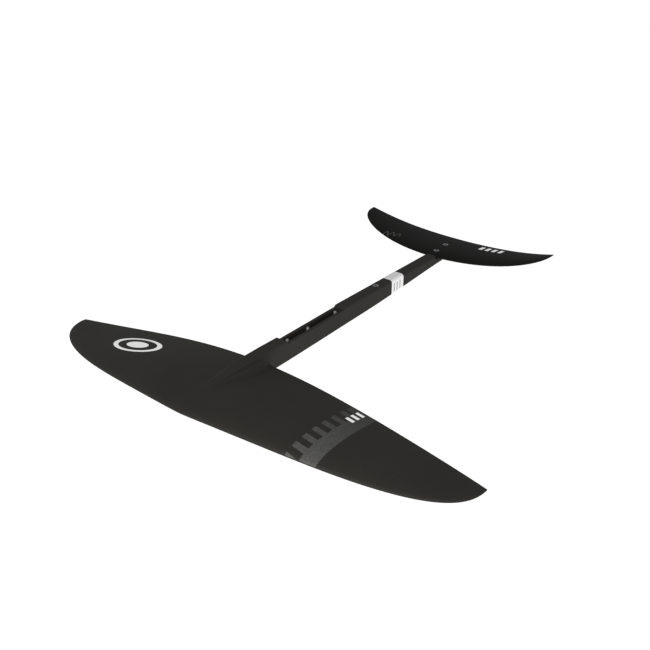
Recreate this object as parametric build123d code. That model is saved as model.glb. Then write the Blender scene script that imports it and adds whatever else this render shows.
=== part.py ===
from build123d import *
from dataclasses import dataclass
from math import cos, pi, sin, sqrt
import os

# Wing, fuselage and stabiliser of a hydrofoil, in millimetres. +X runs along the span, +Y aft and +Z up.
# The origin is on the axis of the middle mast screw, level with the rims that the mast foot sits on.

# ---- Front wing ----
WING_HALF_SPAN = 400.0
WING_ROOT_CHORD = 177.4
WING_TRAILING_EDGE = -110.0
WING_HEIGHT = -15.0
SPAR_START, SPAR_END = 0.28, 0.42      # shares of the chord
CORE_TIP = 0.94                        # share of the half-span where the foam cores stop

# ---- Stabiliser ----
TAIL_HALF_SPAN = 199.0
TAIL_ROOT_CHORD = 100.8
TAIL_TRAILING_EDGE = 467.9
TAIL_HEIGHT = -2.7
TAIL_SCREWS = (385.6, 417.5)
SEAT_HEIGHT = -7.2                     # flat on the boom that carries the stabiliser and its pad
SEAT_START = 366.0
TAIL_BLOCK_START = 350.0
PAD_START, PAD_END = 369.0, 436.0
PAD_HALF_WIDTH = 8.5

# ---- Fuselage ----
BOOM_HALF_WIDTH = 11.0
BOOM_CORNER = 5.0
LEAST_CORNER = 0.8                     # inside corners of its hollow
WALL = 3.0                             # carbon laminate
FRONT, BACK = -300.0, 500.0            # clear of the whole object at either end
SEAM_FRONT = (-110.0, -16.0)           # y and z of the moulding seam below the mast
SEAM_REAR = (460.0, -10.5)             # and at the tail
GLUE = 0.1                             # bond line round every core and block

# ---- Mast saddle ----
SADDLE_FRONT, SADDLE_REAR = -60.0, 84.0
FRONT_RAMP, REAR_RAMP = 7.5, 4.5       # length of the ramps at its two ends
GROOVE_HALF_WIDTH = 5.5
GROOVE_DEPTH = 10.0
MAST_SCREWS = (-51.0, 0.0, 72.0)
RAILS = (SADDLE_FRONT + GROOVE_HALF_WIDTH, SADDLE_REAR - GROOVE_HALF_WIDTH)  # straight rims
BLOCK = (-78.0, 105.0)                 # laminate block under the groove

# ---- Screws ----
SCREW_RADIUS = 3.0                     # M6
SHANK_RADIUS = 2.5                     # waisted shank of a mast screw
FREE_END = 9.8                         # its full-size end, which stands in the groove
HOLE_RADIUS = 3.2
HEAD_RADIUS, HEAD_HEIGHT = 5.0, 5.0    # cap head of a mast screw
SINK_RADIUS, SINK_DEPTH = 5.6, 3.0     # countersunk head
SOCKET_RADIUS, SOCKET_DEPTH = 2.3, 2.6
SLEEVE_RADIUS, FLANGE_RADIUS, FLANGE = 4.5, 6.5, 1.5
INSERT_RADIUS = 4.6
TOP_INSERT_LENGTH, TAIL_INSERT_LENGTH = 9.0, 5.4
TOP_SCREW_LENGTH, TAIL_SCREW_LENGTH = 14.0, 16.0
TOP_SCREW = 188.0
PLAY = 0.1                             # round a head, a flange or an insert
BELLY_RECESS = 0.8                     # heads of the mast screws, inside the belly
TOP_RECESS, TAIL_RECESS = 0.4, 0.5     # countersunk heads, below the skin round them
INSERT_GAP = 0.6                       # an insert, below the seat over it

BEYOND = 60.0                          # how far cutters reach past the fuselage

# ---- Label ----
LABEL_START, LABEL_END = 222.0, 258.0
LABEL_THICKNESS = 0.3

# Width, top, bottom and corner radius of the fuselage, from its nose on the wing to the back of the mast.
NOSE = [  # y, half-width, top, bottom, corner
    (-232, 3.0, -7.4, -14.0, 2.7),
    (-223, 5.5, 1.6, -15.5, 4.4),
    (-205, 8.3, 4.8, -17.5, BOOM_CORNER),
    (-188, 9.7, 6.5, -25.0, BOOM_CORNER),
    (-155, 10.7, 7.8, -29.4, BOOM_CORNER),
    (-115, BOOM_HALF_WIDTH, 8.3, -31.4, BOOM_CORNER),
    (-70, BOOM_HALF_WIDTH, 7.6, -32.1, BOOM_CORNER),
]
KEEL_START = -191.0                    # blunt front of the keel below the wing
HOLLOW_START = -170.0                  # the fairing is solid laminate ahead of this
BOOM = [
    NOSE[-1],
    (90, BOOM_HALF_WIDTH, 5.4, -29.6, BOOM_CORNER),
    (190, BOOM_HALF_WIDTH, 3.7, -27.6, BOOM_CORNER),
    (370, BOOM_HALF_WIDTH, 0.8, -19.0, BOOM_CORNER),
    (425, 10.5, -0.8, -17.8, BOOM_CORNER),
    (441, 8.0, -3.8, -16.0, 3.8),
]


@dataclass
class Foil:
    """A lifting surface. s is the share of the half-span, and u the share of the chord from the nose."""

    half_span: float
    root_chord: float
    taper: tuple      # p and q in chord = root * (1 - s**p)**q
    tail: tuple       # trailing edge y = a + b*s**2 + c*s**6
    height: tuple     # z of the chord line = a + b*s**2 + c*s**4
    thickness: float  # all four below as shares of the chord
    camber: float
    edge: float
    skin: float
    pocket: tuple     # where the hollow for the core starts and ends

    def chord(self, s):
        p, q = self.taper
        return self.root_chord * (1 - abs(s) ** p) ** q

    def half_thickness(self, u):
        form = 0.2969 * sqrt(u) - 0.1260 * u - 0.3516 * u**2 + 0.2843 * u**3 - 0.1036 * u**4
        return 5 * self.thickness * form + self.edge * u

    def point(self, s, u, offset):
        """The point at u on section s, offset above the camber line by that share of the chord."""
        chord = self.chord(s)
        a, b, c = self.tail
        y = a + b * s**2 + c * s**6 - chord * (1 - u)
        a, b, c = self.height
        z = a + b * s**2 + c * s**4 + chord * (4 * self.camber * u * (1 - u) + offset)
        return Vector(self.half_span * s, y, z)

    def surface(self, s, start, end, side, inset, points=11):
        """The upper (side 1) or lower (side -1) curve from start to end, set in by inset millimetres."""
        chord = self.chord(s)
        shares = [start + (end - start) * (1 - cos(pi * k / (points - 1))) / 2 for k in range(points)]
        if start == 0:
            shares = [(k / (points - 1)) ** 2 for k in range(points)]
        offsets = [side * (self.half_thickness(u) - inset / chord) for u in shares]
        return [self.point(s, u, offset) for u, offset in zip(shares, offsets)]

    def skin_section(self, s, side):
        """One skin: the outer curve, the joint on the camber line, and its half of the hollow."""
        start, end = self.pocket
        outer = self.surface(s, 0, 1, side, 0)
        inner = self.surface(s, end, start, side, self.skin * self.chord(s))
        corners = [outer[-1], self.point(s, 1, 0), self.point(s, end, 0), inner[0]]
        corners_front = [inner[-1], self.point(s, start, 0), outer[0]]
        edges = [Edge.make_spline(outer)]
        edges += [Edge.make_line(a, b) for a, b in zip(corners, corners[1:])]
        edges += [Edge.make_spline(inner)]
        edges += [Edge.make_line(a, b) for a, b in zip(corners_front, corners_front[1:])]
        return Wire(edges)

    def filled_section(self, s, start, end, inset):
        """A whole section between two shares of the chord, set in by inset millimetres."""
        upper = self.surface(s, start, end, 1, inset)
        lower = self.surface(s, start, end, -1, inset)
        edges = [Edge.make_spline(upper), Edge.make_line(upper[-1], lower[-1])]
        edges += [Edge.make_spline(lower[::-1])]
        if start > 0:
            edges += [Edge.make_line(lower[0], upper[0])]
        return Wire(edges)

    def stations(self, tip):
        """Shares of the half-span from tip to tip, closer together towards the tips."""
        steps = [sin(pi / 2 * k / 9) for k in range(9)] + [0.9945]
        half = [s for s in steps if s < tip - 0.02] + [tip]
        return [-s for s in half[:0:-1]] + half

    def half_shell(self, side):
        return Solid.make_loft([self.skin_section(s, side) for s in self.stations(0.9985)])

    def body(self, start, end, inset, tip=0.9985):
        return Solid.make_loft([self.filled_section(s, start, end, inset) for s in self.stations(tip)])

    def core(self, start, end, tip):
        """A core between two shares of the chord, a bond line inside the hollow."""
        sections = []
        for s in self.stations(tip):
            chord = self.chord(s)
            gap = GLUE / chord
            sections.append(self.filled_section(s, start + gap, end - gap, self.skin * chord + GLUE))
        return Solid.make_loft(sections)


WING = Foil(
    WING_HALF_SPAN, WING_ROOT_CHORD, taper=(1.43, 0.44),
    tail=(WING_TRAILING_EDGE, 2.1, -15.8), height=(WING_HEIGHT, -85.0, 39.1),
    thickness=0.12, camber=0.022, edge=0.003, skin=0.018, pocket=(0.04, 0.84),
)
TAIL = Foil(
    TAIL_HALF_SPAN, TAIL_ROOT_CHORD, taper=(1.87, 0.40),
    tail=(TAIL_TRAILING_EDGE, 2.3, -4.8), height=(TAIL_HEIGHT, 13.0, 8.7),
    thickness=0.10, camber=0.020, edge=0.004, skin=0.022, pocket=(0.05, 0.80),
)


def block(x, y, z):
    """A box between two limits along each axis."""
    size = [high - low for low, high in (x, y, z)]
    middle = [(high + low) / 2 for low, high in (x, y, z)]
    return Pos(*middle) * Box(*size)


def side_profile(points):
    """A prism across the fuselage, from an outline in y and z."""
    wire = Wire.make_polygon([Vector(-BEYOND, y, z) for y, z in points])
    return Solid.extrude(Face(wire), Vector(2 * BEYOND, 0, 0))


def stretch(start, end):
    """A box round the whole fuselage between two places along it."""
    return block((-BEYOND, BEYOND), (start, end), (-BEYOND, BEYOND))


def upright(radius, low, high, y):
    """A cylinder on the middle plane."""
    return Pos(0, y, (low + high) / 2) * Cylinder(radius, high - low)


def fuselage(stations, inset):
    """A loft through rounded rectangles, each set in by inset millimetres, straight between them."""
    faces = []
    for y, half_width, top, bottom, corner in stations:
        wide, tall = 2 * (half_width - inset), top - bottom - 2 * inset
        plane = Plane(origin=(0, y, (top + bottom) / 2), x_dir=(1, 0, 0), z_dir=(0, 1, 0))
        faces.append(plane * RectangleRounded(wide, tall, max(corner - inset, LEAST_CORNER)))
    return loft(faces, ruled=True)


def hull(inset):
    """The nose fairing and the boom as one solid, set in by inset millimetres."""
    if not inset:
        return fuselage([*NOSE, *BOOM[1:]], 0)
    back = (BOOM[-1][0] - inset, *BOOM[-1][1:])
    nose = [station for station in NOSE if station[1] > inset + 2]
    return fuselage([*nose, *BOOM[1:-1], back], inset) - stretch(FRONT, HOLLOW_START + inset - WALL)


def boom_height(y, column):
    """Height of the boom's top (column 2) or bottom (column 3) at y, straight between its stations."""
    for before, after in zip(BOOM, BOOM[1:]):
        if before[0] <= y <= after[0]:
            share = (y - before[0]) / (after[0] - before[0])
            return before[column] + share * (after[column] - before[column])
    raise ValueError(y)


def above_seam():
    """Everything above the moulding seam, which steps up to the groove's floor along the rails."""
    (front, low), (rear, high) = SEAM_FRONT, SEAM_REAR
    rail_start, rail_end = RAILS
    rise = (high - low) / (rear - front)
    outline = [(FRONT, low), (front, low)]
    outline += [(rail_start, low + rise * (rail_start - front)), (rail_start, -GROOVE_DEPTH)]
    outline += [(rail_end, -GROOVE_DEPTH), (rail_end, low + rise * (rail_end - front))]
    return side_profile([*outline, (rear, high), (rear, BEYOND), (FRONT, BEYOND)])


def saddle_space():
    """What is cut away above the mast foot, with a ramp at each end."""
    front, rear = SADDLE_FRONT - FRONT_RAMP, SADDLE_REAR + REAR_RAMP
    outline = [(SADDLE_FRONT, 0), (SADDLE_REAR, 0), (rear, BOOM[1][2]), (rear, BEYOND), (front, BEYOND)]
    return side_profile([*outline, (front, NOSE[-1][2])])


def groove():
    """The slot for the mast foot, with round ends."""
    length, middle = SADDLE_REAR - SADDLE_FRONT, (SADDLE_REAR + SADDLE_FRONT) / 2
    plan = Pos(0, middle) * SlotOverall(length, 2 * GROOVE_HALF_WIDTH, rotation=90)
    return Pos(0, 0, -GROOVE_DEPTH) * extrude(plan, BEYOND)


def head_seat(y):
    """Height of the seat that a mast screw's head and its sleeve's flange bear on."""
    return boom_height(y, 3) + BELLY_RECESS + HEAD_HEIGHT


def mast_screw(y):
    seat = head_seat(y)
    head = upright(HEAD_RADIUS, seat - HEAD_HEIGHT, seat, y)
    socket = upright(SOCKET_RADIUS, seat - HEAD_HEIGHT, seat - HEAD_HEIGHT + SOCKET_DEPTH, y)
    shank = upright(SHANK_RADIUS, seat, -FREE_END, y)
    return head + shank + upright(SCREW_RADIUS, -FREE_END, 0, y) - socket


def mast_sleeve(y):
    seat = head_seat(y)
    ring = upright(FLANGE_RADIUS, seat, seat + FLANGE, y) + upright(SLEEVE_RADIUS, seat, -GROOVE_DEPTH, y)
    return ring - upright(HOLE_RADIUS, seat, -GROOVE_DEPTH, y)


def mast_holes():
    """Stepped holes up from the belly for the screw heads and their sleeves."""
    holes = []
    for y in MAST_SCREWS:
        seat = head_seat(y)
        holes.append(upright(FLANGE_RADIUS + PLAY, -BEYOND, seat + FLANGE, y))
        holes.append(upright(SLEEVE_RADIUS + PLAY / 2, seat, 0, y))
    return holes


def sunk_screw(y, top, length):
    """A countersunk screw, its head's face at top."""
    cone = Pos(0, y, top - SINK_DEPTH / 2) * Cone(SCREW_RADIUS, SINK_RADIUS, SINK_DEPTH)
    shank = upright(SCREW_RADIUS, top - length, top - SINK_DEPTH, y)
    return cone + shank - upright(SOCKET_RADIUS, top - SOCKET_DEPTH, top, y)


def sunk_hole(y, top, depth):
    """Its hole, open upwards."""
    wide, narrow = SINK_RADIUS + PLAY, SCREW_RADIUS + PLAY
    cone = Pos(0, y, top - SINK_DEPTH / 2) * Cone(narrow, wide, SINK_DEPTH)
    return cone + upright(wide, top, BEYOND, y) + upright(HOLE_RADIUS, top - depth, top - SINK_DEPTH / 2, y)


def insert(y, top, length):
    """A threaded metal bush."""
    return upright(INSERT_RADIUS, top - length, top, y) - upright(SCREW_RADIUS, top - length, top, y)


def insert_hole(y, top, length):
    return upright(INSERT_RADIUS + PLAY / 2, top - length - PLAY, top, y)


def tail_head(y):
    """Face of a stabiliser screw's head, just below the skin round it."""
    u = 1 - (TAIL_TRAILING_EDGE - y) / TAIL_ROOT_CHORD
    return TAIL.point(0, u, TAIL.half_thickness(u)).Z - TAIL_RECESS


def cut(shape, tools):
    for tool in tools:
        shape = shape - tool
    return shape


def largest(shape):
    """The main solid, without slivers that a cut leaves."""
    return max(shape.solids(), key=lambda solid: solid.volume)


def solids(shapes):
    """Separate solids of one node."""
    return Compound(children=[solid for shape in shapes for solid in shape.solids()])


# ---- Shared cutters ----
wing_space = WING.body(0, 1, -PLAY / 2)
tail_space = block((-BEYOND, BEYOND), (SEAT_START, BACK), (SEAT_HEIGHT, BEYOND))
top_head = boom_height(TOP_SCREW, 2) - TOP_RECESS
top_insert_top = top_head - SINK_DEPTH - INSERT_GAP
tail_insert_top = SEAT_HEIGHT - INSERT_GAP
top_cuts = [
    sunk_hole(TOP_SCREW, top_head, TOP_SCREW_LENGTH + 1),
    insert_hole(TOP_SCREW, top_insert_top, TOP_INSERT_LENGTH),
]
tail_bores = [upright(HOLE_RADIUS, tail_insert_top, SEAT_HEIGHT + 1, y) for y in TAIL_SCREWS]
tail_bores += [insert_hole(y, tail_insert_top, TAIL_INSERT_LENGTH) for y in TAIL_SCREWS]
tail_sinks = [sunk_hole(y, tail_head(y), TAIL_SCREW_LENGTH + 1) for y in TAIL_SCREWS]

# ---- Fuselage shells ----
solid_saddle = block((-BEYOND, BEYOND), BLOCK, (-GROOVE_DEPTH, BEYOND))
hollow, filling = hull(WALL) - solid_saddle, hull(WALL + GLUE) - solid_saddle
shell = cut(hull(0) - hollow, [wing_space, saddle_space(), groove(), tail_space, *mast_holes(), *top_cuts])
upper_shell = shell & above_seam()
fairing = upper_shell & stretch(FRONT, RAILS[0])
rails = upper_shell & stretch(*RAILS)
boom_shell = upper_shell & stretch(RAILS[1], BACK)
lower_shell = cut(shell, [above_seam(), stretch(FRONT, KEEL_START)])


def inside(start, end):
    """The part of the fuselage's hollow between two places along it."""
    return filling & stretch(start + GLUE, end - GLUE)


# ---- Label wrapped over the boom ----
wrapped = fuselage(BOOM, -LABEL_THICKNESS) - fuselage(BOOM, 0)
label = wrapped & stretch(LABEL_START, LABEL_END)

# ---- Pad under the stabiliser, shaped to its lower skin ----
tail_outer = TAIL.body(0, 1, -PLAY / 2)
pad = block((-PAD_HALF_WIDTH, PAD_HALF_WIDTH), (PAD_START, PAD_END), (SEAT_HEIGHT, 0)) - tail_outer
pad = cut(pad, [upright(HOLE_RADIUS, -BEYOND, BEYOND, y) for y in TAIL_SCREWS])

parts = {
    "wing_upper_skin": WING.half_shell(1),
    "wing_lower_skin": WING.half_shell(-1),
    "wing_front_core": WING.core(WING.pocket[0], SPAR_START, CORE_TIP),
    "wing_spar": WING.core(SPAR_START, SPAR_END, CORE_TIP),
    "wing_rear_core": WING.core(SPAR_END, WING.pocket[1], CORE_TIP),
    "nose_fairing": fairing,
    "saddle_rails": rails,
    "boom_upper_shell": boom_shell,
    "fuselage_lower_shell": lower_shell,
    "nose_core": inside(HOLLOW_START, BLOCK[0]) - wing_space,
    "mast_block": cut(inside(*BLOCK), mast_holes()),
    "boom_core": cut(inside(BLOCK[1], TAIL_BLOCK_START), top_cuts),
    "tail_block": cut(inside(TAIL_BLOCK_START, BACK), [tail_space, *tail_bores]),
    "mast_screws": solids([mast_screw(y) for y in MAST_SCREWS]),
    "mast_screw_sleeves": solids([mast_sleeve(y) for y in MAST_SCREWS]),
    "top_screw": sunk_screw(TOP_SCREW, top_head, TOP_SCREW_LENGTH),
    "top_insert": insert(TOP_SCREW, top_insert_top, TOP_INSERT_LENGTH),
    "label_band": label,
    "stabiliser_upper_skin": largest(cut(TAIL.half_shell(1), tail_sinks)),
    "stabiliser_lower_skin": largest(cut(TAIL.half_shell(-1), tail_sinks)),
    "stabiliser_core": cut(TAIL.core(*TAIL.pocket, CORE_TIP), tail_sinks),
    "stabiliser_pad": largest(pad),
    "stabiliser_screws": solids([sunk_screw(y, tail_head(y), TAIL_SCREW_LENGTH) for y in TAIL_SCREWS]),
    "stabiliser_inserts": solids([insert(y, tail_insert_top, TAIL_INSERT_LENGTH) for y in TAIL_SCREWS]),
}

os.makedirs("parts", exist_ok=True)
for name, shape in parts.items():
    export_step(shape, f"parts/{name}.step")
    print(name, len(shape.solids()), round(shape.volume))
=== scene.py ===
"""Looks of the hydrofoil wing, fuselage and stabiliser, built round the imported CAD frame."""

from math import asin, cos, pi, radians, sin, sqrt

import bmesh
import bpy
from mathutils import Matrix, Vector

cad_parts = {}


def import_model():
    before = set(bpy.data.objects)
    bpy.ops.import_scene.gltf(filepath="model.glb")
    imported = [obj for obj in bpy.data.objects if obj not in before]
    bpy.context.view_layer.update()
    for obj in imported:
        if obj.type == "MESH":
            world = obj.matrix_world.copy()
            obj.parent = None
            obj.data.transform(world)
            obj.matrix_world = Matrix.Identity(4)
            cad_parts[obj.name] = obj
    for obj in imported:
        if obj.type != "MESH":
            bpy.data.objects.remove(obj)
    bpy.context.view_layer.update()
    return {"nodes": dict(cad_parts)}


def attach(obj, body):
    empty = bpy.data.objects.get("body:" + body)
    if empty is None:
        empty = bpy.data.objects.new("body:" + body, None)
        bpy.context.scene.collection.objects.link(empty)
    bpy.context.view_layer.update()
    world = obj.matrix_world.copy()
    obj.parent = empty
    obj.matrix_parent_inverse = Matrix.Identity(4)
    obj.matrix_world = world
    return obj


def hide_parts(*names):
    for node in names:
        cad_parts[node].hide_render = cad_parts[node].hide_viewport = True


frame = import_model()

MM = 0.001     # lengths of shapes are in millimetres and go through this on their way into a mesh
WELD = 2e-6    # points of a mesh closer than this are one, in metres
SHARP = 32     # edges of the mouldings that turn by more than this stay sharp, in degrees
TURNED = 28    # the same for turned parts


# ---- Small helpers ----

def lerp(a, b, t):
    return a + (b - a) * t


def smooth(low, high, value):
    """0 below low, 1 above high, and a smooth step between."""
    t = min(max((value - low) / (high - low), 0.0), 1.0)
    return t * t * (3 - 2 * t)


def curved(stations, y):
    """A faired line through stations of (y, value), level beyond its ends."""
    if y <= stations[0][0]:
        return stations[0][1]
    if y >= stations[-1][0]:
        return stations[-1][1]
    k = next(i for i, station in enumerate(stations) if station[0] >= y) - 1

    def slope(i):
        low, high = max(i - 1, 0), min(i + 1, len(stations) - 1)
        return (stations[high][1] - stations[low][1]) / (stations[high][0] - stations[low][0])

    (y0, z0), (y1, z1) = stations[k], stations[k + 1]
    gap = y1 - y0
    t = (y - y0) / gap
    a, b = slope(k) * gap, slope(k + 1) * gap
    return z0 + t * (a + t * (3 * (z1 - z0) - 2 * a - b + t * (2 * (z0 - z1) + a + b)))


def mesh_object(name, points, faces, sharp=SHARP):
    """A mesh in metres from points in millimetres, smooth apart from edges sharper than that angle."""
    mesh = bpy.data.meshes.new(name)
    mesh.from_pydata([Vector(p) * MM for p in points], [], faces)
    bm = bmesh.new()
    bm.from_mesh(mesh)
    bmesh.ops.remove_doubles(bm, verts=bm.verts, dist=WELD)
    bmesh.ops.dissolve_degenerate(bm, edges=bm.edges, dist=WELD / 2)
    bmesh.ops.recalc_face_normals(bm, faces=bm.faces)
    bm.to_mesh(mesh)
    bm.free()
    obj = bpy.data.objects.new(name, mesh)
    bpy.context.scene.collection.objects.link(obj)
    finish_mesh(obj, sharp)
    return obj


def finish_mesh(obj, sharp):
    obj.data.polygons.foreach_set("use_smooth", [True] * len(obj.data.polygons))
    obj.data.set_sharp_from_angle(angle=radians(sharp))


def grid_faces(rows, columns, start=0, close=False):
    """Quads over a grid of points stored row by row."""
    faces = []
    last = columns if close else columns - 1
    for i in range(rows - 1):
        for j in range(last):
            a, b = start + i * columns + j, start + i * columns + (j + 1) % columns
            faces.append((a, b, b + columns, a + columns))
    return faces


def carve(obj, cutters, sharp):
    """Cuts closed cutters out of a mesh and removes them."""
    for cutter in cutters:
        change = obj.modifiers.new("cut", "BOOLEAN")
        change.operation = "DIFFERENCE"
        change.solver = "EXACT"
        change.object = cutter
    bpy.context.view_layer.update()
    result = bpy.data.meshes.new_from_object(obj.evaluated_get(bpy.context.evaluated_depsgraph_get()))
    obj.modifiers.clear()
    obj.data = result
    for cutter in cutters:
        bpy.data.objects.remove(cutter)
    finish_mesh(obj, sharp)


# ---- Lifting surfaces ----

class Foil:
    """The same formulas as the CAD's. s is the share of the half-span, and u the share of the chord."""

    def __init__(self, half_span, root_chord, taper, tail, height, thickness, camber, edge):
        self.half_span, self.root_chord, self.taper = half_span, root_chord, taper
        self.tail, self.height = tail, height
        self.thickness, self.camber, self.edge = thickness, camber, edge

    def chord(self, s):
        p, q = self.taper
        return self.root_chord * (1 - min(abs(s), 1.0) ** p) ** q

    def trailing_edge(self, s):
        a, b, c = self.tail
        return a + b * s**2 + c * s**6

    def leading_edge(self, x):
        s = x / self.half_span
        return self.trailing_edge(s) - self.chord(s)

    def chord_height(self, s):
        a, b, c = self.height
        return a + b * s**2 + c * s**4

    def offset(self, u, side):
        form = 0.2969 * sqrt(u) - 0.1260 * u - 0.3516 * u**2 + 0.2843 * u**3 - 0.1036 * u**4
        return side * (5 * self.thickness * form + self.edge * u) + 4 * self.camber * u * (1 - u)

    def point(self, x, u, side):
        s = x / self.half_span
        y = self.trailing_edge(s) - self.chord(s) * (1 - u)
        return (x, y, self.chord_height(s) + self.chord(s) * self.offset(u, side))

    def surface(self, x, y, side):
        """Height of the upper (side 1) or lower (side -1) surface."""
        s = x / self.half_span
        chord = self.chord(s)
        u = min(max(1 - (self.trailing_edge(s) - y) / chord, 0.0), 1.0)
        return self.chord_height(s) + chord * self.offset(u, side)


WING = Foil(400, 177.4, (1.43, 0.44), (-110, 2.1, -15.8), (-15, -85, 39.1), 0.12, 0.022, 0.003)
TAIL = Foil(199, 100.8, (1.87, 0.40), (467.9, 2.3, -4.8), (-2.7, 13, 8.7), 0.10, 0.020, 0.004)

# ---- Monobloc: front wing, fairing and boom as one moulded skin ----

HALF_WIDTH = 11.0
CORNER = 5.0
TOP = [(-240, -1.7), (-223, 2.1), (-205, 4.8), (-188, 6.5), (-155, 7.8), (-115, 8.3), (-70, 7.6),
       (90, 5.4), (190, 3.7), (370, 0.8), (425, -0.8), (436, -1.9), (441, -4.4)]
BOTTOM = [(-210, -18.0), (-188, -25.0), (-155, -29.4), (-115, -31.4), (-70, -32.1), (90, -29.6),
          (190, -27.6), (370, -19.0), (425, -17.8), (436, -16.9), (441, -14.6)]
TAIL_WIDTH = [(400, HALF_WIDTH), (425, 10.5), (436, 9.0), (441, 6.8)]
NOSE_TOP, NOSE_KEEL = -241.0, -209.0       # where the fairing and the keel start
BULLET, NOSE_HALF_WIDTH = 105.0, 2.5       # length of their taper, and half-width at its start
FILLET, NOSE_FILLET = 15.0, 4.0            # how far the flanks spread on to the wing, and at the nose
FLANK_RISE = 11.0                          # most that a fillet climbs up a flank
EDGE_FILLET = 8.0                          # plan radius between trailing edge and boom
SADDLE_FRONT, SADDLE_REAR = -60.0, 84.0
FRONT_RAMP, REAR_RAMP = 7.5, 4.6
GROOVE, GROOVE_DEPTH = 5.5, 10.15
SEAT_START, SEAT_HEIGHT = 366.0, -7.2
TAIL_ROUND, BOOM_END = 436.0, 441.0        # where the boom's end starts to round, and where it stops

# Points across one half of a section, from the middle outwards, and then along the wing
FLOOR_POINTS, WALL_POINTS, RIM_POINTS, CORNER_POINTS = 5, 5, 5, 8
FLANK_POINTS, FILLET_POINTS = 6, 12
SPREAD_COLUMNS, SPREAD_END, WING_COLUMNS, WING_ROWS = 8, 50.0, 46, 56
BOOM_ROWS = 90


def spaced(count):
    """Shares from 0 to 1, both included."""
    return [k / (count - 1) for k in range(count)]


def half_width(y, nose):
    """Bullet shaped in plan, from its nose to the full width."""
    t = min(max((y - nose) / BULLET, 0.0), 1.0)
    width = NOSE_HALF_WIDTH + (HALF_WIDTH - NOSE_HALF_WIDTH) * sin(pi / 2 * t) ** 0.75
    return width if y < TAIL_WIDTH[0][0] else curved(TAIL_WIDTH, y)


def saddle_cut(y, top):
    """Height that the top is cut down to for the mast foot and for the stabiliser."""
    if y > SEAT_START:
        return min(top, SEAT_HEIGHT)
    if y < SADDLE_FRONT:
        return top * (1 - smooth(SADDLE_FRONT - FRONT_RAMP, SADDLE_FRONT, y))
    if y > SADDLE_REAR:
        t = min((y - SADDLE_REAR) / REAR_RAMP, 1.0)
        return top * t**1.5 * (2.5 - 1.5 * t)
    return 0.0


def groove_at(y):
    """Half-width and depth of the groove, which has round ends."""
    reach = min(y - SADDLE_FRONT, SADDLE_REAR - y)
    if reach <= 0:
        return 0.0, 0.0
    half = GROOVE if reach > GROOVE else sqrt(GROOVE**2 - (GROOVE - reach) ** 2)
    return half, GROOVE_DEPTH


def cap_profile(width, top, corner_x, corner_z, cut, groove, depth):
    """Right half of the top from the middle to the start of the flank, as (x, z).

    cut is the height of its flat, and groove and depth are those of the groove in it.
    """
    drop = min(max(top - cut, 0.0), corner_z)
    start = 0.0 if corner_z < 1e-6 else asin(sqrt(max(0.0, 1 - ((corner_z - drop) / corner_z) ** 2)))
    flat_end = width - corner_x + corner_x * sin(start)
    inner = groove if depth else flat_end * 0.55
    points = [(inner * t, cut - depth) for t in spaced(FLOOR_POINTS)]
    points += [(inner, cut - depth * (1 - t)) for t in spaced(WALL_POINTS)]
    points += [(lerp(inner, flat_end, t), cut) for t in spaced(RIM_POINTS)]
    for t in spaced(CORNER_POINTS):
        angle = lerp(start, pi / 2, t)
        z = top - corner_z + corner_z * cos(angle)
        points.append((width - corner_x + corner_x * sin(angle), min(z, cut)))
    return points


CAP_POINTS = FLOOR_POINTS + WALL_POINTS + RIM_POINTS + CORNER_POINTS
BODY_POINTS = CAP_POINTS + FLANK_POINTS
PROFILE_POINTS = BODY_POINTS + FILLET_POINTS


def root_profile(y, side, share):
    """Right half of the upper or lower side at the wing root: body, flank and fillet, as (x, z).

    share is how far back on the chord the row is, so that the fillet runs out at the trailing edge.
    """
    nose = NOSE_TOP if side > 0 else NOSE_KEEL
    width = half_width(y, nose)
    edge = curved(TOP if side > 0 else BOTTOM, y)
    skin = WING.surface(0, y, side)
    lift = max(side * (edge - skin), 0.0) if y > nose else 0.0
    spread = lerp(NOSE_FILLET, FILLET, smooth(nose, nose + 90, y))
    spread = lerp(spread, EDGE_FILLET, smooth(0.86, 1.0, share))
    corner = min(CORNER, 0.45 * lift)
    rise = min(0.62 * lift, FLANK_RISE) * (1 - smooth(0.90, 1.0, share) ** 2)
    rise = min(rise, lift - corner)
    cap = cap_profile(width, lift, min(CORNER, 0.6 * width), corner, lift, 0.0, 0.0)
    shaped = [(x, skin + side * h) for x, h in cap]
    foot = WING.surface(width, y, side) + side * rise
    shoulder = skin + side * (lift - corner)
    shaped += [(width, lerp(shoulder, foot, t)) for t in spaced(FLANK_POINTS)]
    for t in spaced(FILLET_POINTS):
        x = width + spread * (1 - cos(pi / 2 * t))
        shaped.append((x, WING.surface(x, y, side) + side * rise * (1 - sin(pi / 2 * t))))
    weight = smooth(0.0, 2.5, lift)
    points = []
    for (x, z), t in zip(shaped, spaced(PROFILE_POINTS)):
        even = (width + spread) * t
        x_mixed = lerp(even, x, weight)
        points.append((x_mixed, lerp(WING.surface(x_mixed, y, side), z, weight)))
    return points


def edge_line(x):
    """The wing's trailing edge in plan, sweeping aft into the boom's flank."""
    inside = min(max(EDGE_FILLET - (x - HALF_WIDTH), 0.0), EDGE_FILLET)
    return WING.trailing_edge(x / WING.half_span) + EDGE_FILLET - sqrt(EDGE_FILLET**2 - inside**2)


def wing_columns():
    """Places along the span outside the spread columns, closer together near the tip."""
    first = asin(SPREAD_END / WING.half_span)
    shares = [sin(lerp(first, pi / 2, k / WING_COLUMNS)) for k in range(1, WING_COLUMNS)]
    return [WING.half_span * s for s in shares + [0.9998, 0.99996, 1.0]]


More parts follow.
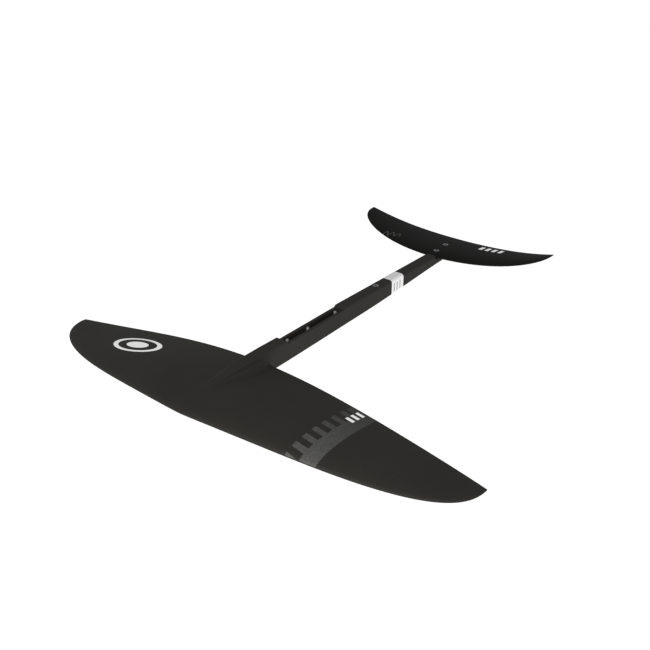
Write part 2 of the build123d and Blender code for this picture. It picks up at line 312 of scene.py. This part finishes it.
def wing_side(side):
    """Grid rows from the leading to the trailing edge of the right half of one side."""
    rows = []
    nominal = [x for x, _ in root_profile(WING.trailing_edge(0), side, 1.0)]
    for i in range(WING_ROWS):
        u = (1 - cos(pi * i / (WING_ROWS - 1))) / 2
        row = []
        for k, x_near in enumerate(nominal):
            x = x_near
            for _ in range(2):
                y = lerp(WING.leading_edge(x), edge_line(x_near), u)
                x, z = root_profile(y, side, u)[k]
            row.append((x, y, z))
        x_start = row[-1][0]
        for k in range(1, SPREAD_COLUMNS + 1):
            row.append(WING.point(lerp(x_start, SPREAD_END, k / SPREAD_COLUMNS), u, side))
        row += [WING.point(x, u, side) for x in wing_columns()]
        rows.append(row)
    return rows


def boom_loop(y, grow=0.0, plain=False):
    """Right half of the boom's section from the middle of the top to the middle of the bottom."""
    width = half_width(y, NOSE_TOP) + grow
    top, bottom = curved(TOP, y) + grow, curved(BOTTOM, y) - grow
    cut = top if plain else saddle_cut(y, top)
    groove, depth = (0.0, 0.0) if plain else groove_at(y)
    corner = min(CORNER + grow, 0.45 * (top - bottom), width * 0.62)
    upper = cap_profile(width, top, corner, corner, cut, groove, depth)
    lower = cap_profile(width, 0, corner, corner, 0, 0.0, 0.0)
    start, end = upper[-1][1], bottom + corner
    middle = lerp(WING.chord_height(0), (start + end) / 2, smooth(-60, 120, y))
    gap = WING.edge * WING.root_chord
    loop = [(x, y, z) for x, z in upper]
    loop += [(width, y, lerp(start, middle + gap, t)) for t in spaced(FLANK_POINTS)]
    loop += [(width, y, lerp(middle - gap, end, t)) for t in spaced(FLANK_POINTS)]
    loop += [(x, y, bottom - z) for x, z in reversed(lower)]
    return loop


def boom_rows():
    """Places along the boom, close together where its shape changes."""
    ends = [SADDLE_FRONT - FRONT_RAMP * (1 - k / 10) for k in range(11)]
    ends += [SADDLE_FRONT + GROOVE * (1 - cos(pi / 2 * k / 8)) for k in range(1, 9)]
    ends += [SADDLE_REAR - GROOVE * (1 - cos(pi / 2 * k / 8)) for k in range(1, 9)]
    ends += [SADDLE_REAR + REAR_RAMP * k / 8 for k in range(9)]
    ends += [SADDLE_FRONT + 0.02, SADDLE_REAR - 0.02, SEAT_START, SEAT_START + 0.02]
    ends += [TAIL_ROUND + (BOOM_END - TAIL_ROUND) * sin(pi / 2 * k / 6) for k in range(7)]
    start = edge_line(HALF_WIDTH)
    plain = [start + (TAIL_ROUND - start) * k / BOOM_ROWS for k in range(BOOM_ROWS + 1)]
    kept = [y for y in plain if all(abs(y - other) > 0.6 for other in ends)]
    return sorted(kept + ends)


def monobloc():
    """The whole moulding: its right half as one surface, and the left half mirrored from it."""
    points, faces = [], []
    upper, lower = wing_side(1), wing_side(-1)
    columns = len(upper[0])
    for rows in (upper, lower):
        faces += grid_faces(len(rows), columns, start=len(points))
        points += [p for row in rows for p in row]
    # The trailing edge has a thickness, closed by a strip outside the boom
    over = (WING_ROWS - 1) * columns
    under = over + WING_ROWS * columns
    for k in range(BODY_POINTS - 1, columns - 1):
        faces.append((over + k, over + k + 1, under + k + 1, under + k))
    # The boom starts on the wing's last row and is closed by a flat end
    loops = [boom_loop(y) for y in boom_rows()]
    loops[0] = upper[-1][:BODY_POINTS] + lower[-1][:BODY_POINTS][::-1]
    around = len(loops[0])
    start = len(points)
    faces += grid_faces(len(loops), around, start=start)
    points += [p for loop in loops for p in loop]
    first, last = start + (len(loops) - 1) * around, start + len(loops) * around - 1
    faces += [(first + k, first + k + 1, last - 1 - k, last - k) for k in range(around // 2 - 1)]
    count = len(points)
    points += [(-x, y, z) for x, y, z in points]
    faces += [tuple(count + k for k in reversed(face)) for face in faces]
    return mesh_object("monobloc_body", points, faces)


# ---- Stabiliser ----

TAIL_SCREWS = (385.6, 417.5)
TAIL_COLUMNS, TAIL_ROWS = 60, 44


def stabiliser():
    """The rear wing as one closed skin, from tip to tip."""
    shares = [sin(pi / 2 * k / TAIL_COLUMNS) for k in range(TAIL_COLUMNS)] + [0.9998, 1.0]
    places = [-TAIL.half_span * s for s in shares[:0:-1]] + [TAIL.half_span * s for s in shares]
    rounds = [(1 - cos(pi * i / (TAIL_ROWS - 1))) / 2 for i in range(TAIL_ROWS)]
    rows = [[TAIL.point(x, u, 1) for x in places] for u in reversed(rounds)]
    rows += [[TAIL.point(x, u, -1) for x in places] for u in rounds[1:]]
    rows.append(rows[0])
    points = [p for row in rows for p in row]
    return mesh_object("stabiliser_skin", points, grid_faces(len(rows), len(places)))


# ---- Screws ----

SCREW_RADIUS, SHANK_RADIUS, PITCH, THREAD_DEPTH = 3.0, 2.5, 1.0, 0.55
HEAD_RADIUS, HEAD_HEIGHT, KNURL, KNURLS = 5.0, 5.0, 0.09, 24
HEAD_EDGE, SINK_EDGE, BREAK = 0.45, 0.35, 0.1    # chamfers of the two heads, and of their small edges
BORE_RADIUS, FLANGE = 6.6, 1.4                   # counterbore in the belly, and the sleeve's flange in it
SINK_RADIUS, SINK_DEPTH = 5.6, 3.0
SOCKET_RADIUS, SOCKET_DEPTH = 2.3, 2.6
FREE_END, MAST_SCREWS, TOP_SCREW = 9.8, (-51.0, 0.0, 72.0), 188.0
TOP_SCREW_LENGTH, TAIL_SCREW_LENGTH = 14.0, 16.0
BELLY_RECESS, TOP_RECESS, TAIL_RECESS = 0.8, 0.4, 0.5
PLAY = 0.1


def thread(start, end):
    """Relief of a screw thread between two heights, fading out at both."""
    def relief(z, angle):
        turn = (z / PITCH - angle / (2 * pi)) % 1.0
        ridge = abs(2 * turn - 1)
        return -THREAD_DEPTH * (1 - ridge) * smooth(start, start + PITCH, z) * smooth(-end, PITCH - end, -z)
    return relief


def knurl(start, end):
    """Fine upright grooves round a cap head."""
    def relief(z, angle):
        return -KNURL * sin(KNURLS / 2 * angle) ** 2 if start < z < end else 0.0
    return relief


def lathed(name, y, profile, reliefs=(), step=0.125, around=48):
    """A closed body turned about an upright axis, from a profile of (z, radius), with relief on its sides."""
    rows = []
    for (z0, r0), (z1, r1) in zip(profile, profile[1:]):
        count = max(1, round(abs(z1 - z0) / step)) if reliefs else 1
        rows += [(lerp(z0, z1, k / count), lerp(r0, r1, k / count)) for k in range(count)]
    rows.append(profile[-1])
    points = []
    for z, r in rows:
        for k in range(around):
            angle = 2 * pi * k / around
            radius = r + sum(relief(z, angle) for relief in reliefs)
            points.append((radius * cos(angle), y + radius * sin(angle), z))
    faces = grid_faces(len(rows), around, close=True)
    faces += [tuple(range(around)), tuple((len(rows) - 1) * around + k for k in range(around))]
    return mesh_object(name, points, faces, TURNED)


def hexagon(y, low, high):
    """A hexagonal prism that cuts a key's socket."""
    return lathed("cutter", y, [(low, SOCKET_RADIUS), (high, SOCKET_RADIUS)], around=6)


def head_seat(y):
    """Height of the underside of a mast screw's head."""
    return curved(BOTTOM, y) + BELLY_RECESS + HEAD_HEIGHT


def tail_head(y):
    """Height of the top of a stabiliser screw's head."""
    return TAIL.surface(0, y, 1) - TAIL_RECESS


def mast_screw(name, y):
    """Cap screw up from the belly: its free threaded end stands in the groove, flush with the rims."""
    seat = head_seat(y)
    head = seat - HEAD_HEIGHT
    profile = [(head, HEAD_RADIUS - HEAD_EDGE), (head + HEAD_EDGE, HEAD_RADIUS)]
    profile += [(seat - BREAK, HEAD_RADIUS), (seat, HEAD_RADIUS - BREAK)]
    profile += [(seat, SHANK_RADIUS), (-FREE_END, SHANK_RADIUS), (-FREE_END + 0.4, SCREW_RADIUS)]
    profile += [(-0.9, SCREW_RADIUS), (0.0, SCREW_RADIUS - 0.8)]
    screw = lathed(name, y, profile, [thread(-FREE_END, -0.2), knurl(head + HEAD_EDGE, seat - 0.2)])
    carve(screw, [hexagon(y, head - 1, head + SOCKET_DEPTH)], TURNED)
    return screw


def sunk_screw(name, y, top, length):
    """Countersunk screw, its head's face at top."""
    profile = [(top - length, SCREW_RADIUS - 0.7), (top - length + 0.8, SCREW_RADIUS)]
    profile += [(top - SINK_DEPTH, SCREW_RADIUS), (top - SINK_EDGE, SINK_RADIUS)]
    profile += [(top - BREAK, SINK_RADIUS), (top, SINK_RADIUS - BREAK)]
    screw = lathed(name, y, profile, [thread(top - length, top - SINK_DEPTH - 1)])
    carve(screw, [hexagon(y, top - SOCKET_DEPTH, top + 1)], TURNED)
    return screw


def sink_cutter(y, top):
    """The seat of a countersunk screw, open upwards."""
    wide, narrow = SINK_RADIUS + PLAY, SCREW_RADIUS + PLAY
    profile = [(top - SINK_DEPTH - 2, narrow), (top - SINK_DEPTH, narrow)]
    profile += [(top - 0.2, wide), (top + 20, wide)]
    return lathed("cutter", y, profile)


def belly_cutter(y):
    """The counterbore of a mast screw's head, as deep as its sleeve's flange."""
    return lathed("cutter", y, [(-45, BORE_RADIUS), (head_seat(y) + FLANGE, BORE_RADIUS)])


# ---- Label ----

LABEL_START, LABEL_END, LABEL_THICKNESS, LABEL_ROWS = 222.0, 258.0, 0.25, 13


def ring(y, grow):
    """A whole section of the boom."""
    half = boom_loop(y, grow, plain=True)
    return half + [(-x, y, z) for x, y, z in reversed(half) if x > 0]


def label():
    """A thin printed band wrapped round the boom."""
    places = [lerp(LABEL_START, LABEL_END, t) for t in spaced(LABEL_ROWS)]
    loops = [ring(y, LABEL_THICKNESS) for y in places] + [ring(y, 0.0) for y in reversed(places)]
    loops.append(loops[0])
    points = [p for loop in loops for p in loop]
    return mesh_object("fuselage_label", points, grid_faces(len(loops), len(loops[0]), close=True), 40)


# ---- Materials, with their measures in metres ----

TOW, COS_45 = 0.0021, 0.7071
INK_PAINTED_GLOW = 0.3                # painted light: the white print glows faintly, so it reads brighter than its surroundings
NOTCHES_START, NOTCH_PITCH = -0.258, 0.021
DASHES_START, DASH_PITCH = 0.060, 0.0128
LINES_START, LINE_PITCH = 0.228, 0.009


def linear(value):
    """An sRGB level from 0 to 255 as linear light."""
    c = value / 255
    return c / 12.92 if c <= 0.04045 else ((c + 0.055) / 1.055) ** 2.4


def tone(r, g, b):
    return (linear(r), linear(g), linear(b), 1.0)


class Nodes:
    """Short ways to make and join shader nodes."""

    def __init__(self, name, roughness=0.5, metallic=0.0, specular=0.5):
        self.material = bpy.data.materials.new(name)
        self.material.use_nodes = True
        self.tree = self.material.node_tree
        self.tree.nodes.clear()
        self.shader = self.add("ShaderNodeBsdfPrincipled")
        self.shader.inputs["Roughness"].default_value = roughness
        self.shader.inputs["Metallic"].default_value = metallic
        self.shader.inputs["Specular IOR Level"].default_value = specular
        output = self.add("ShaderNodeOutputMaterial")
        self.join(self.shader.outputs["BSDF"], output.inputs["Surface"])
        coordinates = self.add("ShaderNodeTexCoord")
        split = self.add("ShaderNodeSeparateXYZ")
        self.position = coordinates.outputs["Object"]
        self.join(self.position, split.inputs[0])
        self.x, self.y, self.z = split.outputs

    def add(self, kind):
        return self.tree.nodes.new(kind)

    def join(self, output, socket):
        """Links an output to a socket, or sets the socket to a plain value."""
        if hasattr(output, "is_output"):
            self.tree.links.new(output, socket)
        else:
            socket.default_value = output

    def math(self, operation, a, b=0.0, c=0.0, clamp=False):
        node = self.add("ShaderNodeMath")
        node.operation, node.use_clamp = operation, clamp
        for value, socket in zip((a, b, c), node.inputs):
            self.join(value, socket)
        return node.outputs[0]

    def band(self, value, low, high, soft=0.0002):
        """1 between low and high, with a soft edge, in metres."""
        rise = self.step(value, low, soft)
        return self.math("SUBTRACT", rise, self.step(value, high, soft), clamp=True)

    def step(self, value, edge, soft=0.0002):
        """0 below the edge and 1 above it."""
        node = self.add("ShaderNodeMapRange")
        self.join(value, node.inputs["Value"])
        node.inputs["From Min"].default_value = edge - soft
        node.inputs["From Max"].default_value = edge + soft
        return node.outputs["Result"]

    def both(self, *masks):
        result = masks[0]
        for mask in masks[1:]:
            result = self.math("MULTIPLY", result, mask)
        return result

    def either(self, *masks):
        result = masks[0]
        for mask in masks[1:]:
            result = self.math("MAXIMUM", result, mask)
        return result

    def mix(self, share, a, b):
        node = self.add("ShaderNodeMix")
        node.data_type = "RGBA"
        self.join(share, node.inputs["Factor"])
        self.join(a, node.inputs["A"])
        self.join(b, node.inputs["B"])
        return node.outputs["Result"]

    def noise(self, scale, detail=3.0, rough=0.5, stretch=(1, 1, 1)):
        mapping = self.add("ShaderNodeMapping")
        mapping.inputs["Scale"].default_value = stretch
        self.join(self.position, mapping.inputs["Vector"])
        node = self.add("ShaderNodeTexNoise")
        self.join(mapping.outputs[0], node.inputs["Vector"])
        node.inputs["Scale"].default_value = scale
        node.inputs["Detail"].default_value = detail
        node.inputs["Roughness"].default_value = rough
        return node.outputs["Fac"]

    def bump(self, height, distance, strength=1.0):
        node = self.add("ShaderNodeBump")
        node.inputs["Strength"].default_value = strength
        node.inputs["Distance"].default_value = distance
        self.join(height, node.inputs["Height"])
        self.join(node.outputs[0], self.shader.inputs["Normal"])

    def up(self):
        """1 on faces that look up."""
        geometry = self.add("ShaderNodeNewGeometry")
        split = self.add("ShaderNodeSeparateXYZ")
        self.join(geometry.outputs["Normal"], split.inputs[0])
        return self.step(split.outputs["Z"], 0.25, 0.05)


def weave(n, tow):
    """Twill carbon cloth at 45 degrees to the span: height of the tows, and 1 where the warp lies over."""
    a = n.math("MULTIPLY", n.math("ADD", n.x, n.y), COS_45 / tow)
    b = n.math("MULTIPLY", n.math("SUBTRACT", n.x, n.y), COS_45 / tow)
    warp = n.math("ABSOLUTE", n.math("SINE", n.math("MULTIPLY", a, pi)))
    weft = n.math("ABSOLUTE", n.math("SINE", n.math("MULTIPLY", b, pi)))
    cell = n.math("ADD", n.math("FLOOR", a), n.math("FLOOR", b))
    over = n.math("LESS_THAN", n.math("MODULO", n.math("ADD", cell, 4000.0), 4.0), 2.0)
    return n.math("ADD", n.both(over, warp), n.both(n.math("SUBTRACT", 1.0, over), weft)), over


def carbon(name, base, light, prints=None):
    """Satin lacquer over carbon cloth: the weave shows faintly, with a soft haze and fine rubbing marks."""
    n = Nodes(name, specular=0.15)
    height, over = weave(n, TOW)
    haze = n.noise(9.0, 4.0, 0.55)
    fine = n.noise(900.0, 2.0, 0.6)
    rub = n.noise(60.0, 5.0, 0.7, stretch=(1, 0.12, 1))
    colour = n.mix(haze, base, light)
    colour = n.mix(n.math("MULTIPLY", over, 0.12), colour, light)
    gloss = n.math("MULTIPLY_ADD", rub, 0.10, 0.46)
    gloss = n.math("MULTIPLY_ADD", fine, 0.06, gloss)
    if prints:
        colour, gloss = prints(n, colour, gloss)
    n.join(colour, n.shader.inputs["Base Color"])
    n.join(gloss, n.shader.inputs["Roughness"])
    n.bump(n.math("MULTIPLY_ADD", fine, 0.5, n.math("MULTIPLY", height, 0.35)), 0.00003)
    return n.material


def oval(n, x, y, along_x, along_y):
    """Distance from a centre as a share of an oval's radius, in metres."""
    across = n.math("DIVIDE", n.math("SUBTRACT", n.x, x), along_x)
    down = n.math("DIVIDE", n.math("SUBTRACT", n.y, y), along_y)
    return n.math("SQRT", n.math("ADD", n.both(across, across), n.both(down, down)))


def bars(n, value, start, pitch, share):
    """1 on evenly spaced bars, each a share of the pitch wide."""
    place = n.math("FRACT", n.math("DIVIDE", n.math("SUBTRACT", value, start), pitch))
    return n.band(place, 0.0, share, 0.03)


def rectangle(n, x, y, wide, deep):
    """1 inside a rectangle with its middle at x and y."""
    return n.both(n.band(n.x, x - wide / 2, x + wide / 2), n.band(n.y, y - deep / 2, y + deep / 2))


def print_white_painted_glow(n, colour, mask):
    """Opaque white ink, with a painted glow that makes it a little brighter than its surroundings."""
    # painted light: emission on the white marks makes them glow, though they are no lamp
    n.join(n.mix(mask, (0, 0, 0, 1), (1, 1, 1, 1)), n.shader.inputs["Emission Color"])
    n.shader.inputs["Emission Strength"].default_value = INK_PAINTED_GLOW
    return n.mix(mask, colour, tone(250, 250, 250))


def wing_prints(n, colour, gloss):
    """On the upper side only: a grey band with notches, three small bars, and a white disc in a ring, the
    white with a painted glow.
    """
    upper = n.up()
    strip = n.band(n.x, 0.170, 0.213, 0.0003)
    teeth = bars(n, n.y, NOTCHES_START, NOTCH_PITCH, 0.52)
    notches = n.both(n.band(n.x, 0.150, 0.190), teeth, n.band(n.y, NOTCHES_START, -0.125))
    strip = n.both(strip, n.math("SUBTRACT", 1.0, notches), upper)
    dots = n.math("GREATER_THAN", n.noise(1400.0, 1.0, 0.5), 0.5)
    fore = n.math("MULTIPLY_ADD", n.y, -6.0, -0.6, clamp=True)
    grey = n.mix(n.math("MULTIPLY", dots, fore), tone(76, 76, 75), tone(122, 122, 121))
    colour = n.mix(strip, colour, grey)
    marks = [rectangle(n, 0.1905, y, 0.013, 0.006) for y in (-0.144, -0.132, -0.120)]
    radius = oval(n, -0.206, -0.176, 0.050, 0.026)
    marks += [n.band(radius, 0.80, 1.0, 0.01), n.math("LESS_THAN", radius, 0.45)]
    white = n.both(n.either(*marks), upper)
    colour = print_white_painted_glow(n, colour, white)
    gloss = n.math("MULTIPLY_ADD", n.either(strip, white), 0.08, gloss)
    return colour, gloss


def tail_prints(n, colour, gloss):
    """On the upper side only: a grey wave on the left and a row of white bars on the right, the white with a
    painted glow.
    """
    upper = n.up()
    wave = n.math("MULTIPLY", n.math("SINE", n.math("MULTIPLY", n.x, 520.0)), 0.0055)
    rise = n.math("MULTIPLY_ADD", n.x, -0.25, n.math("SUBTRACT", n.y, 0.421))
    line = n.both(n.band(n.math("SUBTRACT", rise, wave), -0.0008, 0.0008), n.band(n.x, -0.124, -0.088))
    row = n.math("MULTIPLY_ADD", n.x, -0.05, n.math("SUBTRACT", n.y, 0.441))
    spaces = bars(n, n.x, DASHES_START, DASH_PITCH, 0.55)
    dashes = n.both(n.band(row, -0.009, 0.009), n.band(n.x, DASHES_START, 0.111), spaces)
    colour = n.mix(n.both(line, upper), colour, tone(150, 150, 150))
    return print_white_painted_glow(n, colour, n.both(dashes, upper)), gloss


def steel():
    """Stainless screws: brushed round, with small dark stains."""
    n = Nodes("screw_steel", metallic=1.0)
    stains = n.noise(1100.0, 4.0, 0.6)
    lines = n.noise(700.0, 3.0, 0.6, stretch=(1, 1, 7))
    n.join(n.mix(stains, tone(150, 151, 153), tone(205, 206, 208)), n.shader.inputs["Base Color"])
    n.join(n.math("MULTIPLY_ADD", lines, 0.22, 0.26), n.shader.inputs["Roughness"])
    n.bump(lines, 0.00002)
    return n.material


def vinyl():
    """White film with three grey printed bars and a faint film grain, brightened by a faint cool painted
    glow.
    """
    n = Nodes("label_film", roughness=0.4, specular=0.4)
    grain = n.noise(1200.0, 3.0, 0.6)
    lines = bars(n, n.y, LINES_START, LINE_PITCH, 0.3)
    lines = n.both(lines, n.band(n.y, LINES_START, 0.254), n.band(n.z, -0.020, -0.004))
    colour = n.mix(grain, tone(248, 248, 248), tone(255, 255, 255))
    n.join(n.mix(lines, colour, tone(120, 122, 126)), n.shader.inputs["Base Color"])
    # painted light: a faint cool glow on the white film, though it is no lamp
    n.shader.inputs["Emission Color"].default_value = (0.95, 0.97, 1, 1)
    n.shader.inputs["Emission Strength"].default_value = 0.12
    n.bump(grain, 0.00001)
    return n.material


def foam():
    """Closed-cell core foam."""
    n = Nodes("core_foam", roughness=0.85, specular=0.2)
    cells = n.noise(1600.0, 2.0, 0.5)
    n.join(n.mix(cells, tone(196, 184, 150), tone(226, 216, 188)), n.shader.inputs["Base Color"])
    n.bump(cells, 0.0002)
    return n.material


def laminate():
    """Solid carbon laminate with its plies showing as lines."""
    n = Nodes("solid_laminate", roughness=0.5, specular=0.4)
    plies = n.math("FRACT", n.math("MULTIPLY", n.z, 4000.0))
    specks = n.noise(500.0, 4.0, 0.6)
    shade = n.math("MULTIPLY_ADD", specks, 0.5, n.math("MULTIPLY", plies, 0.4))
    n.join(n.mix(shade, tone(26, 26, 26), tone(54, 54, 54)), n.shader.inputs["Base Color"])
    n.bump(plies, 0.00003)
    return n.material


def moulded_pad():
    """Black moulded packer with a fine spark texture."""
    n = Nodes("moulded_pad", roughness=0.65, specular=0.3)
    grain = n.noise(1500.0, 3.0, 0.6)
    n.join(n.mix(grain, tone(26, 26, 27), tone(40, 40, 41)), n.shader.inputs["Base Color"])
    n.bump(grain, 0.00006)
    return n.material


CARBON = carbon("wing_carbon", tone(48, 47, 45), tone(60, 59, 55), wing_prints)
CARBON_TAIL = carbon("tail_carbon", tone(20, 19, 18), tone(28, 27, 26), tail_prints)
STEEL = steel()


# ---- Build ----

def place(piece, material, slot, *nodes):
    """Gives a piece its material, hangs it on the root body and hides the CAD nodes it stands for. slot is
    not used.
    """
    piece.data.materials.clear()
    piece.data.materials.append(material)
    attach(piece, "root")
    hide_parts(*nodes)


body = monobloc()
top_head = curved(TOP, TOP_SCREW) - TOP_RECESS
cutters = [belly_cutter(y) for y in MAST_SCREWS] + [sink_cutter(TOP_SCREW, top_head)]
carve(body, cutters, SHARP)
place(body, CARBON, "carbon", "wing_upper_skin", "wing_lower_skin", "nose_fairing", "saddle_rails",
      "boom_upper_shell", "fuselage_lower_shell", "mast_block")

tail = stabiliser()
carve(tail, [sink_cutter(y, tail_head(y)) for y in TAIL_SCREWS], SHARP)
place(tail, CARBON_TAIL, "carbon_tail", "stabiliser_upper_skin", "stabiliser_lower_skin")

for spot, y in zip(("front", "middle", "rear"), MAST_SCREWS):
    place(mast_screw("mast_screw_" + spot, y), STEEL, "steel", "mast_screws")
for spot, y in zip(("front", "rear"), TAIL_SCREWS):
    screw = sunk_screw("stabiliser_screw_" + spot, y, tail_head(y), TAIL_SCREW_LENGTH)
    place(screw, STEEL, "steel", "stabiliser_screws")
place(sunk_screw("boom_screw", TOP_SCREW, top_head, TOP_SCREW_LENGTH), STEEL, "steel", "top_screw")
place(label(), vinyl(), "label", "label_band")

# The CAD nodes that stay as they are packed
FINISHES = [
    (foam(), "wing_front_core", "wing_rear_core", "nose_core", "boom_core", "stabiliser_core"),
    (laminate(), "wing_spar", "tail_block"),
    (STEEL, "mast_screw_sleeves", "top_insert", "stabiliser_inserts"),
    (moulded_pad(), "stabiliser_pad"),
]
for material, *nodes in FINISHES:
    for node in nodes:
        mesh = frame["nodes"][node].data
        mesh.materials.clear()
        mesh.materials.append(material)


# ---- Stage, light and camera ----

AZIMUTH, ELEVATION = radians(37.72), radians(27.51)
DISTANCE = 1.55319
PICTURE, SENSOR = 650, 36             # sides of the picture in its own units and of the sensor in mm
FOCAL = 975.65                        # in the picture's units, as is the next
CENTRE = (307.66, 327.21)             # where the origin falls in the picture
FLOOR_REACH, FLOOR_HEIGHT, FLOOR_GLOW = 40.0, -0.30, 0.75
SKY_GLOW = 0.28


def camera():
    back = Vector((sin(AZIMUTH) * cos(ELEVATION), -cos(AZIMUTH) * cos(ELEVATION), sin(ELEVATION)))
    right = Vector((cos(AZIMUTH), sin(AZIMUTH), 0))
    up = back.cross(right)
    scale = DISTANCE / FOCAL
    aside, above = (scale * (middle - PICTURE / 2) for middle in CENTRE)
    data = bpy.data.cameras.new("camera")
    data.sensor_width = SENSOR
    data.lens = FOCAL * SENSOR / PICTURE
    data.clip_start = 0.01
    obj = bpy.data.objects.new("camera", data)
    obj.location = back * DISTANCE - right * aside + up * above
    obj.rotation_euler = (-back).to_track_quat("-Z", "Y").to_euler()
    bpy.context.scene.collection.objects.link(obj)
    bpy.context.scene.camera = obj


def area_light(name, place, size, power, colour):
    """A soft light aimed at the origin."""
    data = bpy.data.lights.new(name, "AREA")
    data.shape = "RECTANGLE"
    data.size, data.size_y = size
    data.energy, data.color = power, colour
    obj = bpy.data.objects.new(name, data)
    obj.location = place
    obj.rotation_euler = (-Vector(place)).to_track_quat("-Z", "Y").to_euler()
    bpy.context.scene.collection.objects.link(obj)


def stage():
    """A pale floor well below the foil, bright enough that no shadow shows."""
    mesh = bpy.data.meshes.new("floor")
    signs = [(-1, -1), (1, -1), (1, 1), (-1, 1)]
    corners = [(x * FLOOR_REACH, y * FLOOR_REACH, FLOOR_HEIGHT) for x, y in signs]
    mesh.from_pydata(corners, [], [(0, 1, 2, 3)])
    floor = bpy.data.objects.new("floor", mesh)
    bpy.context.scene.collection.objects.link(floor)
    n = Nodes("floor", roughness=0.9, specular=0.0)
    n.shader.inputs["Base Color"].default_value = (0.9, 0.9, 0.9, 1)
    n.shader.inputs["Emission Color"].default_value = (1, 1, 1, 1)
    n.shader.inputs["Emission Strength"].default_value = FLOOR_GLOW
    mesh.materials.append(n.material)
    floor.visible_glossy = False


def world():
    w = bpy.data.worlds.new("world")
    bpy.context.scene.world = w
    w.use_nodes = True
    background = w.node_tree.nodes["Background"]
    background.inputs["Color"].default_value = (1, 1, 1, 1)
    background.inputs["Strength"].default_value = SKY_GLOW


camera()
stage()
world()
area_light("key", (0.8, -1.6, 1.0), (1.8, 1.0), 18, (1.0, 0.98, 0.94))
area_light("side", (1.8, 0.6, 0.2), (1.2, 0.8), 0.4, (0.5, 0.72, 1.0))
bpy.context.scene.view_settings.view_transform = "Standard"
